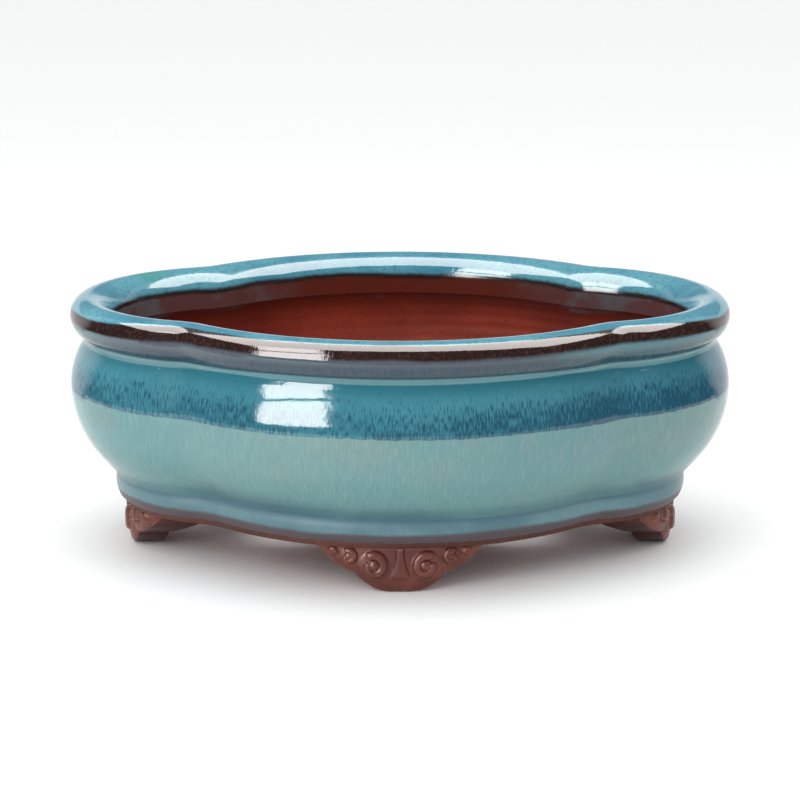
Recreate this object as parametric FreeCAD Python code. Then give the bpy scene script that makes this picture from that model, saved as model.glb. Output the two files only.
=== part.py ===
"""Glazed stoneware bonsai pot in four lobes, with a rolled rim, a moulded base band and four cloud-scroll feet.

Millimetres, +Z up. The origin is on the table, under the middle of the pot. The long axis runs along X and the
front lobe faces -Y. Sections are drawn as (offset, height): offset 0 is the plan outline at the rim's outer edge,
and a negative offset lies that far inside it, measured square to it.
"""
import FreeCAD, Part

import math
import os

from FreeCAD import Vector

# ---- overall sizes ----
LENGTH = 260.0            # over the rim, along X
WIDTH = 195.0             # over the rim, along Y
HEIGHT = 100.0            # table to the top of the rim

# ---- plan outline at the rim's outer edge ----
LONG_LOBE_R = 115.0       # front and back lobes
END_LOBE_R = 65.0         # left and right lobes
HOLLOW_R = 16.0           # hollow between two lobes

# ---- walls and coats ----
WALL = 8.0                # clay wall below the belly
GLAZE = 0.5               # fired glaze coat
FLOOR = 9.0               # clay slab

# ---- rim ----
RIM_ROLL_R = 7.0          # outer half of the roll
RIM_BREADTH = 17.0        # outer edge to inner lip
NECK_DROP = 16.0          # top of the rim to the neck crease
NECK_IN = 6.3             # neck crease inside the rim's outer edge
MOUTH_IN = 16.0           # inner face behind the neck, inside the rim's outer edge

# ---- bowl ----
BELLY_DROP = 35.0         # top of the rim to the widest part of the belly
BELLY_OUT = 0.2           # belly outside the rim's outer edge
WAIST_IN = 17.5           # waist crease inside the rim's outer edge
STRAIGHT_RUN = 10.0       # straight stretch of the wall above the waist crease
COVE = 6.0                # rounding between the inside wall and the floor

# ---- base band ----
FOOT_HEIGHT = 17.5        # table to the underside of the band
BAND_HEIGHT = 12.0        # underside of the band to the waist crease
BAND_SWELL = 0.9          # band's bulge outside the waist crease
BAND_SWELL_DROP = 3.0     # waist crease to the widest part of the band
BAND_TUCK = 3.0           # band's lower edge inside the waist crease
BAND_BREADTH = 12.5       # waist crease to the band's inner face
BARE_CLAY = 2.2           # unglazed strip along the band's lower edge

# ---- drain holes ----
DRAIN_R = 11.0
DRAIN_SPACING = 92.0

# ---- feet ----
FOOT_HALF_WIDTH = 31.5    # middle to the tip of the side scroll
FOOT_BREADTH = 12.0       # front face to back face
FOOT_PROUD = 0.5          # front face outside the band's bare edge
FOOT_ROUND = 5.0          # rounding between the front face and the toe
TOE_HALF_WIDTH = 3.0      # flat that stands on the table
DIP_PLACE = 16.8          # middle to the dip between the side scroll and the toe
DIP_HEIGHT = 7.0          # table to that dip
SCROLL_BOW = 1.7          # bulge of the side scroll's underside

# ---- scrollwork on each foot: (middle of the foot to its middle, band to its middle, radius, coil radius) ----
VOLUTE = (9.6, 6.6, 4.6, 1.2)
CURL = (18.8, 3.4, 2.6, 0.8)
BUD = (25.0, 1.8, 0.0, 1.2)
COIL_BED = 0.4            # coils' middles behind the foot's face
LEAF_TOP_HALF_WIDTH = 1.4
LEAF_TIP_HALF_WIDTH = 3.2
LEAF_LENGTH = 12.0
LEAF_PROUD = 0.8

# ---- levels and offsets that follow ----
NECK_Z = HEIGHT - NECK_DROP
BELLY_Z = HEIGHT - BELLY_DROP
WAIST_Z = FOOT_HEIGHT + BAND_HEIGHT
BARE_Z = FOOT_HEIGHT + BARE_CLAY
BAND_INNER = -WAIST_IN - BAND_BREADTH
FACE = FOOT_PROUD - WAIST_IN - BAND_TUCK - GLAZE

UP = Vector(0, 0, 1)


# ---------------------------------------------------------------- plan outline
def plan_arcs():
    """The outline's eight arcs as (centre, radius at offset 0, +1 lobe or -1 hollow, start angle, sweep)."""
    long_y = LONG_LOBE_R - WIDTH / 2
    end_x = LENGTH / 2 - END_LOBE_R
    gap = math.hypot(end_x, long_y)
    reach_long = LONG_LOBE_R + HOLLOW_R
    reach_end = END_LOBE_R + HOLLOW_R
    along = (reach_long ** 2 - reach_end ** 2 + gap ** 2) / (2 * gap)
    across = math.sqrt(reach_long ** 2 - along ** 2)
    hollow_x = (end_x * along - long_y * across) / gap
    hollow_y = long_y - (long_y * along + end_x * across) / gap
    half_long = math.atan2(hollow_x, long_y - hollow_y)
    half_end = math.atan2(-hollow_y, hollow_x - end_x)
    hollow_start = math.pi / 2 + half_long
    hollow_sweep = half_long + half_end - math.pi / 2
    arcs = []
    for turn in (0, math.pi):
        flip = math.cos(turn)
        arcs.append((Vector(0, flip * long_y, 0), LONG_LOBE_R, 1, turn - math.pi / 2 - half_long, 2 * half_long))
        arcs.append((Vector(flip * end_x, 0, 0), END_LOBE_R, 1, turn - half_end, 2 * half_end))
        right = Vector(flip * hollow_x, flip * hollow_y, 0)
        arcs.append((right, HOLLOW_R, -1, turn + hollow_start - hollow_sweep, hollow_sweep))
        left = Vector(-flip * hollow_x, flip * hollow_y, 0)
        arcs.append((left, HOLLOW_R, -1, turn + math.pi - hollow_start, hollow_sweep))
    return arcs


def ring(section):
    """Carries a closed section round the whole outline."""
    lengths = []
    for centre, radius, bulge, start, sweep in plan_arcs():
        face = section if bulge > 0 else section.mirror(Vector(), Vector(1, 0, 0))
        face = face.translated(Vector(radius, 0, 0))
        face = face.rotated(Vector(), UP, math.degrees(start)).translated(centre)
        length = face.revolve(centre, UP, math.degrees(sweep))
        if length.Volume < 0:
            length.reverse()
        lengths.append(length)
    return lengths[0].fuse(lengths[1:])


def prism(offset, low, high):
    """Solid plate with the plan outline at one offset."""
    edges = []
    for centre, radius, bulge, start, sweep in plan_arcs():
        reach = radius + bulge * offset
        circle = Part.Circle(centre + UP * low, UP, reach)
        edges.append(Part.Arc(circle, start, start + sweep).toShape())
    outline = Part.Wire(Part.sortEdges(edges)[0])
    return Part.Face(outline).extrude(UP * (high - low))


# ---------------------------------------------------------------- section drawing
def at(offset, height):
    return Vector(offset, 0, height)


def line(start, end):
    return Part.LineSegment(start, end).toShape()


def turn(centre, radius, first, last):
    """Arc in the section plane about a centre, angles in radians from the outward direction."""
    angles = (first, (first + last) / 2, last)
    points = [centre + at(radius * math.cos(angle), radius * math.sin(angle)) for angle in angles]
    return Part.Arc(*points).toShape()


def leaning_arc(upright, leaned):
    """Arc that is upright at one point and curves inwards to the other."""
    run = upright.x - leaned.x
    rise = leaned.z - upright.z
    radius = (run ** 2 + rise ** 2) / (2 * run)
    return turn(upright - at(radius, 0), radius, 0, math.atan2(rise, radius - run))


def rising_arc(level, raised):
    """Arc that is level at one point and curves upwards to the other."""
    run = raised.x - level.x
    rise = raised.z - level.z
    radius = (run ** 2 + rise ** 2) / (2 * rise)
    return turn(level + at(0, radius), radius, -math.pi / 2, math.atan2(run, radius - rise) - math.pi / 2)


def section(edges):
    return Part.Face(Part.Wire(Part.sortEdges(edges)[0]))


def end_points(edges):
    """First and last point of a run of edges drawn from the top down."""
    points = [vertex.Point for edge in edges for vertex in edge.Vertexes]
    top = max(points, key=lambda point: point.z)
    bottom = min(points, key=lambda point: point.z)
    return top, bottom


# ---------------------------------------------------------------- curves of the sections
def lower_wall():
    """Radius of the wall below the belly, and its lean from the vertical along the straight run."""
    run = BELLY_OUT + WAIST_IN
    rise = BELLY_Z - WAIST_Z
    radius = (run ** 2 + rise ** 2 - STRAIGHT_RUN ** 2) / (2 * run)
    reach = math.hypot(radius - run, rise)
    lean = math.atan2(rise, radius - run) - math.acos(radius / reach)
    return radius, lean


def waist_point(inset):
    lean = lower_wall()[1]
    return at(-WAIST_IN - inset / math.cos(lean), WAIST_Z)


def bowl_curve(inset, neck, foot):
    """The wall's curve from a point at the neck to a point on its straight run, inset from the glazed face."""
    radius, lean = lower_wall()
    centre = at(BELLY_OUT - radius, BELLY_Z)
    belly = at(BELLY_OUT - inset, BELLY_Z)
    touch = centre + at((radius - inset) * math.cos(lean), -(radius - inset) * math.sin(lean))
    return [leaning_arc(belly, neck), turn(centre, radius - inset, 0, -lean), line(touch, foot)]


def rim_curve(inset):
    """The roll from the neck crease over the top to the inner face behind the neck."""
    lip_r = RIM_BREADTH - RIM_ROLL_R
    side = at(-inset, HEIGHT - RIM_ROLL_R)
    lip = at(inset - RIM_BREADTH, HEIGHT - lip_r)
    mouth = at(inset - MOUTH_IN, NECK_Z)
    return [
        leaning_arc(side, at(-NECK_IN - inset, NECK_Z)),
        turn(at(-RIM_ROLL_R, HEIGHT - RIM_ROLL_R), RIM_ROLL_R - inset, 0, math.pi / 2),
        turn(at(-RIM_ROLL_R, HEIGHT - lip_r), lip_r - inset, math.pi / 2, math.pi),
        line(lip, mouth),
    ]


def band_curve(inset, low):
    """The band's face from the waist crease down to one level."""
    swell = at(BAND_SWELL - WAIST_IN - inset, WAIST_Z - BAND_SWELL_DROP)
    drop = swell.z - FOOT_HEIGHT
    run = BAND_SWELL + BAND_TUCK
    radius = (run ** 2 + drop ** 2) / (2 * run)
    angle = -math.asin((swell.z - low) / radius)
    return [leaning_arc(swell, waist_point(inset)), turn(swell - at(radius, 0), radius, 0, angle)]


# ---------------------------------------------------------------- clay body
def make_floor():
    """Slab with two drain holes, set inside the base band."""
    slab = prism(BAND_INNER, WAIST_Z - FLOOR, WAIST_Z)
    for side in (-1, 1):
        foot = Vector(side * DRAIN_SPACING / 2, 0, 0)
        slab = slab.cut(Part.makeCylinder(DRAIN_R, HEIGHT, foot, UP))
    return slab


def make_wall():
    """Bulging wall from the waist to the neck, coved onto the slab."""
    neck_out = at(-NECK_IN - GLAZE, NECK_Z)
    neck_in = at(GLAZE - MOUTH_IN, NECK_Z)
    waist_out = waist_point(GLAZE)
    corner = waist_point(GLAZE + WALL)
    lean = lower_wall()[1]
    cove_top = corner + at(COVE * math.sin(lean), COVE * math.cos(lean))
    cove_end = corner - at(COVE, 0)
    half = (math.pi / 2 + lean) / 2
    inwards = at(-math.cos(half), math.sin(half))
    cove_middle = corner + inwards * (COVE / math.cos(half) - COVE * math.tan(half))
    edges = bowl_curve(GLAZE, neck_out, waist_out) + bowl_curve(GLAZE + WALL, neck_in, cove_top)
    edges.append(Part.Arc(cove_top, cove_middle, cove_end).toShape())
    edges.append(line(cove_end, waist_out))
    edges.append(line(neck_in, neck_out))
    return ring(section(edges))


def make_rim():
    """Rolled coil on top of the wall."""
    edges = rim_curve(GLAZE)
    edges.append(line(at(GLAZE - MOUTH_IN, NECK_Z), at(-NECK_IN - GLAZE, NECK_Z)))
    return ring(section(edges))


def make_band():
    """Moulded band round the slab, under the wall."""
    edges = band_curve(GLAZE, FOOT_HEIGHT)
    low_out = end_points(edges)[1]
    inner_low = at(BAND_INNER, FOOT_HEIGHT)
    inner_top = at(BAND_INNER, WAIST_Z)
    edges.append(line(low_out, inner_low))
    edges.append(line(inner_low, inner_top))
    edges.append(line(inner_top, waist_point(GLAZE)))
    return ring(section(edges))


# ---------------------------------------------------------------- glaze coats
def make_rim_glaze():
    """Coat over the whole roll, ending at the neck outside and behind the neck inside."""
    edges = rim_curve(0) + rim_curve(GLAZE)
    edges.append(line(at(-NECK_IN, NECK_Z), at(-NECK_IN - GLAZE, NECK_Z)))
    edges.append(line(at(-MOUTH_IN, NECK_Z), at(GLAZE - MOUTH_IN, NECK_Z)))
    return ring(section(edges))


def make_belly_glaze():
    """Coat on the bowl from the neck crease to the waist crease."""
    neck, neck_clay = at(-NECK_IN, NECK_Z), at(-NECK_IN - GLAZE, NECK_Z)
    edges = bowl_curve(0, neck, waist_point(0)) + bowl_curve(GLAZE, neck_clay, waist_point(GLAZE))
    edges.append(line(neck, neck_clay))
    edges.append(line(waist_point(0), waist_point(GLAZE)))
    return ring(section(edges))


def make_band_glaze():
    """Coat on the band, stopping above its bare lower edge."""
    face, clay = band_curve(0, BARE_Z), band_curve(GLAZE, BARE_Z)
    edges = face + clay
    edges.append(line(waist_point(0), waist_point(GLAZE)))
    edges.append(line(end_points(face)[1], end_points(clay)[1]))
    return ring(section(edges))


# ---------------------------------------------------------------- feet
def bowed(start, end, bow):
    """Arc between two points that bulges by a given amount away from the middle of the foot."""
    way = end - start
    side = at(-way.z, way.x).normalize()
    return Part.Arc(start, (start + end) * 0.5 + side * bow, end).toShape()


def shell_behind(outline, profile, lobe_r, extent):
    """What a revolved profile and a flat outline seen from the front have in common, under the front lobe."""
    centre = Vector(0, lobe_r - extent, 0)
    face = section(profile).translated(Vector(lobe_r, 0, 0))
    face = face.rotated(Vector(), UP, 180).translated(centre)
    sector = face.revolve(centre, UP, 180)
    cutter = section(outline).translated(centre).extrude(Vector(0, -2 * lobe_r, 0))
    return sector.common(cutter)


def foot_outline():
    """Cloud outline: a toe lobe between two side scrolls."""
    toe = at(TOE_HALF_WIDTH, 0)
    dip = at(DIP_PLACE, DIP_HEIGHT)
    tip = at(FOOT_HALF_WIDTH, FOOT_HEIGHT)
    right = [bowed(tip, dip, SCROLL_BOW), rising_arc(toe, dip)]
    left = [edge.mirror(Vector(), Vector(1, 0, 0)) for edge in right]
    toe_left = at(-TOE_HALF_WIDTH, 0)
    tip_left = at(-FOOT_HALF_WIDTH, FOOT_HEIGHT)
    return right + left + [line(toe, toe_left), line(tip_left, tip)]


def foot_profile():
    """Section through the foot: upright face, rounded toe."""
    back = FACE - FOOT_BREADTH
    round_top = at(FACE, FOOT_ROUND)
    round_end = at(FACE - FOOT_ROUND, 0)
    return [
        line(at(FACE, FOOT_HEIGHT), round_top),
        turn(at(FACE - FOOT_ROUND, FOOT_ROUND), FOOT_ROUND, 0, -math.pi / 2),
        line(round_end, at(back, 0)),
        line(at(back, 0), at(back, FOOT_HEIGHT)),
        line(at(back, FOOT_HEIGHT), at(FACE, FOOT_HEIGHT)),
    ]


def leaf(lobe_r, extent):
    """Raised leaf between the volutes, widening downwards."""
    tip_z = FOOT_HEIGHT - LEAF_LENGTH
    corners = [at(-LEAF_TOP_HALF_WIDTH, FOOT_HEIGHT), at(LEAF_TOP_HALF_WIDTH, FOOT_HEIGHT),
               at(LEAF_TIP_HALF_WIDTH, tip_z), at(-LEAF_TIP_HALF_WIDTH, tip_z)]
    outline = [line(corners[k - 1], corners[k]) for k in range(4)]
    root = FACE - FOOT_ROUND
    points = [at(FACE, FOOT_HEIGHT), at(FACE + LEAF_PROUD, FOOT_HEIGHT - LEAF_LENGTH / 2), at(FACE, tip_z)]
    profile = [Part.Arc(*points).toShape(), line(points[2], at(root, tip_z)),
               line(at(root, tip_z), at(root, FOOT_HEIGHT)), line(at(root, FOOT_HEIGHT), points[0])]
    return shell_behind(outline, profile, lobe_r, extent)


def coil(scroll, side, lobe_r, extent):
    """One scroll of the relief: a ring with a bead in its eye, or a plain bead when its radius is 0."""
    place, drop, radius, coil_r = scroll
    face_r = lobe_r + FACE - COIL_BED
    angle = side * place / face_r
    out = Vector(math.sin(angle), -math.cos(angle), 0)
    middle = Vector(0, lobe_r - extent, FOOT_HEIGHT - drop) + out * face_r
    bead = Part.makeSphere(coil_r, middle)
    if radius == 0:
        return [bead]
    return [bead, Part.makeTorus(radius - coil_r, coil_r, middle, out)]


def make_foot(lobe_r, extent):
    """Press-moulded foot under the front of a lobe, with its relief."""
    foot = shell_behind(foot_outline(), foot_profile(), lobe_r, extent)
    relief = [leaf(lobe_r, extent)]
    for side in (-1, 1):
        for scroll in (VOLUTE, CURL, BUD):
            relief += coil(scroll, side, lobe_r, extent)
    return foot.fuse(relief)


# ---------------------------------------------------------------- assembly
def build():
    parts = {
        "bowl_floor": make_floor(),
        "bowl_wall": make_wall(),
        "rim_roll": make_rim(),
        "base_band": make_band(),
        "rim_glaze": make_rim_glaze(),
        "belly_glaze": make_belly_glaze(),
        "band_glaze": make_band_glaze(),
    }
    long_foot = make_foot(LONG_LOBE_R, WIDTH / 2)
    end_foot = make_foot(END_LOBE_R, LENGTH / 2)
    feet = (("foot_front", long_foot, 0), ("foot_right", end_foot, 90),
            ("foot_back", long_foot, 180), ("foot_left", end_foot, 270))
    for name, foot, angle in feet:
        parts[name] = foot.rotated(Vector(), UP, angle)
    return parts


os.makedirs("parts", exist_ok=True)
for node, shape in build().items():
    box = shape.BoundBox
    print(f"{node:12s} solids {len(shape.Solids)} valid {shape.isValid()} volume {shape.Volume:10.1f} "
          f"x {box.XMin:7.1f} {box.XMax:7.1f} y {box.YMin:7.1f} {box.YMax:7.1f} z {box.ZMin:6.1f} {box.ZMax:6.1f}")
    shape.exportStep(f"parts/{node}.step")
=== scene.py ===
import math

import bmesh
import bpy
import numpy as np
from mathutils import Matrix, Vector, noise


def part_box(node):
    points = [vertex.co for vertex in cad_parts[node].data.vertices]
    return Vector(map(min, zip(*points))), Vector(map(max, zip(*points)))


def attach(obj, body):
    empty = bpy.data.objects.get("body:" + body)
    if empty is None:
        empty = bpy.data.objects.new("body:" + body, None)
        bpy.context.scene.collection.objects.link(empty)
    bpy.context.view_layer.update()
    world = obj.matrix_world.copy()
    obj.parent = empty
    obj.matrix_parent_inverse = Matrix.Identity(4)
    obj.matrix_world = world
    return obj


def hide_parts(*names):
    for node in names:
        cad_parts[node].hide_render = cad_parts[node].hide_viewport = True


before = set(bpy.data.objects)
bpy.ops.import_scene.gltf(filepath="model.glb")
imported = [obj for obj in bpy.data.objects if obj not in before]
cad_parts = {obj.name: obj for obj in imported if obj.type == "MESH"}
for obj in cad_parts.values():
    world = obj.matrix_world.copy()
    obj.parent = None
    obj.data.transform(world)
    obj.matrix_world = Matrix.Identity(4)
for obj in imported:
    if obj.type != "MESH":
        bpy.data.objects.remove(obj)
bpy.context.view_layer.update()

# ----------------------------------------
# Bowl floor: a slab of red stoneware with two drain holes, set inside the base band. It is left bare,
# so it shows the fired clay: grit, darker clouds from the kiln and a dry, matt skin.
# ----------------------------------------


def new_group(name, inputs, outputs):
    """An empty effect from (name, kind, default) in and (name, kind) out, and its sockets."""
    tree = bpy.data.node_groups.new(name, "ShaderNodeTree")
    for label, kind, default in inputs:
        socket = tree.interface.new_socket(name=label, in_out="INPUT", socket_type="NodeSocket" + kind)
        socket.default_value = default
    for label, kind in outputs:
        tree.interface.new_socket(name=label, in_out="OUTPUT", socket_type="NodeSocket" + kind)
    return tree, tree.nodes.new("NodeGroupInput").outputs, tree.nodes.new("NodeGroupOutput").inputs


def plug(tree, value, socket):
    """Joins a socket to another, or sets it to a plain value."""
    if isinstance(value, bpy.types.NodeSocket):
        tree.links.new(value, socket)
    elif isinstance(value, tuple) and len(value) == 3 and socket.type == "RGBA":
        socket.default_value = (*value, 1.0)
    else:
        socket.default_value = value


def maths(tree, operation, first, second=0.0, third=0.0):
    """One step of arithmetic on sockets or numbers."""
    node = tree.nodes.new("ShaderNodeMath")
    node.operation = operation
    for value, socket in zip((first, second, third), node.inputs):
        plug(tree, value, socket)
    return node.outputs[0]


def times(tree, first, second):
    """Product of two sockets or numbers."""
    return maths(tree, "MULTIPLY", first, second)


def scaled(tree, value, factor, plus):
    """A socket times a factor, plus a socket or number."""
    return maths(tree, "MULTIPLY_ADD", value, factor, plus)


def blend(tree, share, first, second):
    """Colour that goes from the first to the second with the share."""
    node = tree.nodes.new("ShaderNodeMix")
    node.data_type = "RGBA"
    plug(tree, share, node.inputs[0])
    plug(tree, first, node.inputs[6])
    plug(tree, second, node.inputs[7])
    return node.outputs[2]


def layered(tree, colour, *layers):
    """Colour under layers of (mask, strength, tint), the last on top."""
    for mask, strength, tint in layers:
        colour = blend(tree, times(tree, mask, strength), colour, tint)
    return colour


def ramp(tree, value, low, high):
    """0 below low, 1 above high, smooth between."""
    node = tree.nodes.new("ShaderNodeMapRange")
    node.interpolation_type = "SMOOTHSTEP"
    for item, socket in zip((value, low, high), node.inputs):
        plug(tree, item, socket)
    return node.outputs[0]


def object_place(tree):
    """Place on the pot in metres."""
    return tree.nodes.new("ShaderNodeTexCoord").outputs["Object"]


def grain(tree, place, scale, detail=3.0, roughness=0.5, distortion=0.0):
    """Noise about 0.5."""
    node = tree.nodes.new("ShaderNodeTexNoise")
    plug(tree, place, node.inputs["Vector"])
    plug(tree, scale, node.inputs["Scale"])
    plug(tree, detail, node.inputs["Detail"])
    plug(tree, roughness, node.inputs["Roughness"])
    plug(tree, distortion, node.inputs["Distortion"])
    return node.outputs["Fac"]


def make_kiln_clouds():
    """Slow change of colour over the ware, from the flame and from uneven application."""
    tree, given, made = new_group(
        "Kiln clouds",
        [("Patches per metre", "Float", 20.0), ("Low", "Float", 0.35), ("High", "Float", 0.65),
         ("Shift", "Float", 0.0)],
        [("Mask", "Float")])
    moved = tree.nodes.new("ShaderNodeVectorMath")
    moved.operation = "ADD"
    plug(tree, object_place(tree), moved.inputs[0])
    plug(tree, given["Shift"], moved.inputs[1])
    clouds = grain(tree, moved.outputs[0], given["Patches per metre"], 3.0, 0.55, 0.4)
    mask = ramp(tree, clouds, given["Low"], given["High"])
    plug(tree, mask, made["Mask"])
    return tree


def make_clay_body():
    """Grit, pores and iron specks of the fired body."""
    tree, given, made = new_group(
        "Clay body",
        [("Grit per metre", "Float", 1400.0), ("Speck share", "Float", 0.35)],
        [("Grit", "Float"), ("Specks", "Float"), ("Height", "Float")])
    place = object_place(tree)
    grit = grain(tree, place, given["Grit per metre"], 4.0, 0.65)
    coarse = grain(tree, place, times(tree, given["Grit per metre"], 0.2), 2.0)
    pores = tree.nodes.new("ShaderNodeTexVoronoi")
    plug(tree, place, pores.inputs["Vector"])
    plug(tree, times(tree, given["Grit per metre"], 0.45), pores.inputs["Scale"])
    speck_edge = times(tree, given["Speck share"], 0.5)
    specks = ramp(tree, pores.outputs["Distance"], speck_edge, 0.0)
    height = scaled(tree, coarse, 0.8, times(tree, grit, 0.5))
    plug(tree, grit, made["Grit"])
    plug(tree, specks, made["Specks"])
    plug(tree, maths(tree, "SUBTRACT", height, times(tree, specks, 0.35)), made["Height"])
    return tree


def use(tree, group, **values):
    """Places an effect in a material with its own values."""
    node = tree.nodes.new("ShaderNodeGroup")
    node.node_tree = group
    for label, value in values.items():
        plug(tree, value, node.inputs[label.replace("_", " ")])
    return node.outputs


def clouded(tree, patches, shift=0.0, low=0.35, high=0.65):
    """Mask of kiln clouds, with so many patches per metre."""
    return use(tree, kiln_clouds, Patches_per_metre=patches, Low=low, High=high, Shift=shift)["Mask"]


def new_finish(name, roughness):
    """A material with its shader: tree and Principled node."""
    finish = bpy.data.materials.new(name)
    finish.use_nodes = True
    shader = finish.node_tree.nodes["Principled BSDF"]
    shader.inputs["Roughness"].default_value = roughness
    return finish, finish.node_tree, shader


def press(tree, shader, height, depth):
    """Turns a height into relief of a given depth in metres."""
    bump = tree.nodes.new("ShaderNodeBump")
    bump.inputs["Strength"].default_value = 1.0
    bump.inputs["Distance"].default_value = depth
    plug(tree, height, bump.inputs["Height"])
    plug(tree, bump.outputs[0], shader.inputs["Normal"])


kiln_clouds = make_kiln_clouds()
clay_body = make_clay_body()

CLAY_SHEEN = 0.25
CLAY_DULL = 0.75
CLAY_BRIGHT = 0.50
CLAY_RELIEF = 0.00025
IRON_SPECK = (0.040, 0.018, 0.014)


def make_bare_clay(name, light, dark):
    """Unglazed stoneware: two clay colours in clouds, iron specks and a dry skin."""
    finish, tree, shader = new_finish(name, CLAY_DULL)
    shader.inputs["Specular IOR Level"].default_value = CLAY_SHEEN
    clouds = clouded(tree, patches=26.0)
    body = use(tree, clay_body)
    colour = blend(tree, clouds, light, dark)
    toned = blend(tree, ramp(tree, body["Grit"], 0.35, 0.75), colour, dark)
    colour = layered(tree, toned, (body["Specks"], 0.5, IRON_SPECK))
    plug(tree, colour, shader.inputs["Base Color"])
    rough = scaled(tree, body["Grit"], CLAY_DULL - CLAY_BRIGHT, CLAY_BRIGHT)
    plug(tree, rough, shader.inputs["Roughness"])
    press(tree, shader, body["Height"], CLAY_RELIEF)
    return finish


FLOOR_CLAY = (0.260, 0.055, 0.030)
FLOOR_CLAY_DARK = (0.170, 0.036, 0.021)

floor_clay = make_bare_clay("floor_clay", FLOOR_CLAY, FLOOR_CLAY_DARK)
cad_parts["bowl_floor"].data.materials[0] = floor_clay

# ----------------------------------------
# Bowl wall: red clay pressed into a four-lobed mould and luted on the edge of the slab. The inside is
# wiped with a wet rib, which leaves shallow level ridges, and glaze has run over it from the lip.
# ----------------------------------------
LONG_LOBE_R = 0.115
END_LOBE_R = 0.065
HOLLOW_R = 0.016
STATION_STEP = 0.0014
STATION_OFFSET = -0.012
FEWEST_STATIONS = 6
COAT_CREASE = 40

rim_low, rim_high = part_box("rim_glaze")
top_z = rim_high.z
neck_z = rim_low.z
waist_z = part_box("belly_glaze")[0].z


def plan_arcs():
    """The outline's arcs in order: centre, radius, +1 for a lobe or -1 for a hollow, first and last angle."""
    long_y = LONG_LOBE_R - rim_high.y
    end_x = rim_high.x - END_LOBE_R
    gap = math.hypot(end_x, long_y)
    reach_long = LONG_LOBE_R + HOLLOW_R
    reach_end = END_LOBE_R + HOLLOW_R
    along = (reach_long ** 2 - reach_end ** 2 + gap ** 2) / (2 * gap)
    across = math.sqrt(reach_long ** 2 - along ** 2)
    hollow = ((end_x * along - long_y * across) / gap, long_y - (long_y * along + end_x * across) / gap)
    half_long = math.atan2(hollow[0], long_y - hollow[1])
    half_end = math.atan2(-hollow[1], hollow[0] - end_x)
    first = math.pi / 2 + half_long
    last = math.pi - half_end
    arcs = []
    for turn, flip in ((math.pi, -1), (0, 1)):
        front, right = turn - math.pi / 2, turn
        near = (flip * hollow[0], flip * hollow[1])
        far = (flip * hollow[0], -flip * hollow[1])
        arcs.append(((0, flip * long_y), LONG_LOBE_R, 1, front - half_long, front + half_long))
        arcs.append((near, HOLLOW_R, -1, turn + first, turn + last))
        arcs.append(((flip * end_x, 0), END_LOBE_R, 1, right - half_end, right + half_end))
        arcs.append((far, HOLLOW_R, -1, turn - last, turn - first))
    return arcs


def plan_stations():
    """Rows of centre x and y, radius, bulge, direction x and y round the pot, and the length up to each."""
    rows, steps = [], []
    for (x, y), radius, bulge, first, last in plan_arcs():
        reach = radius + bulge * STATION_OFFSET
        count = max(FEWEST_STATIONS, round(reach * abs(last - first) / STATION_STEP))
        for angle in np.linspace(first, last, count, endpoint=False):
            rows.append((x, y, radius, bulge, math.cos(angle), math.sin(angle)))
            steps.append(reach * abs(last - first) / count)
    return np.array(rows), np.concatenate([[0.0], np.cumsum(steps)])


stations, around = plan_stations()


def placed(offset, height):
    """Points of every station at a section's offsets and heights: stations by rows by 3."""
    x, y, radius, bulge, dx, dy = (column[:, None] for column in stations.T)
    reach = radius + bulge * offset
    tall = np.broadcast_to(height, reach.shape)
    return np.stack([x + reach * dx, y + reach * dy, tall], 2)


def ring_piece(name, points, lengths):
    """A closed ring: points by station and row, with a Section map of length round and length down."""
    count, rows = points.shape[:2]
    here = np.arange(count * rows).reshape(count, rows)
    after = np.roll(here, -1, 0)
    faces = np.stack([here, np.roll(here, -1, 1), np.roll(after, -1, 1), after], 2)
    mesh = bpy.data.meshes.new(name)
    mesh.from_pydata(points.reshape(-1, 3).tolist(), [], faces.reshape(-1, 4).tolist())
    ahead = np.roll(lengths, -1)
    corners = np.empty((count, rows, 4, 2))
    corners[..., 0, 1] = corners[..., 3, 1] = lengths
    corners[..., 1, 1] = corners[..., 2, 1] = ahead
    corners[..., 0, 0] = corners[..., 1, 0] = around[:-1, None]
    corners[..., 2, 0] = corners[..., 3, 0] = around[1:, None]
    mesh.uv_layers.new(name="Section").uv.foreach_set("vector", corners.ravel())
    return shown(name, mesh, COAT_CREASE)


HIDDEN_LENGTH = -1.0


def shown(name, mesh, crease):
    """Puts a mesh in the scene, its faces outwards and smooth but for edges bent more than the crease."""
    build = bmesh.new()
    build.from_mesh(mesh)
    if build.calc_volume(signed=True) < 0:
        bmesh.ops.reverse_faces(build, faces=build.faces)
    build.to_mesh(mesh)
    build.free()
    piece = bpy.data.objects.new(name, mesh)
    bpy.context.scene.collection.objects.link(piece)
    mesh.polygons.foreach_set("use_smooth", [True] * len(mesh.polygons))
    mesh.set_sharp_from_angle(angle=math.radians(crease))
    return piece


ARC_POINTS = 60


def arc_line(centre, radius, first, last):
    """Points of an arc in the section, as (offset, height)."""
    angles = np.linspace(first, last, ARC_POINTS)
    return np.stack([centre[0] + radius * np.cos(angles), centre[1] + radius * np.sin(angles)], 1)


def leaning_line(upright, leaned):
    """Arc from an upright point to one that lies further in."""
    run = upright[0] - leaned[0]
    rise = leaned[1] - upright[1]
    radius = (run ** 2 + rise ** 2) / (2 * run)
    return arc_line((upright[0] - radius, upright[1]), radius, 0, math.atan2(rise, radius - run))


SAME_POINT = 1e-9


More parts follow.
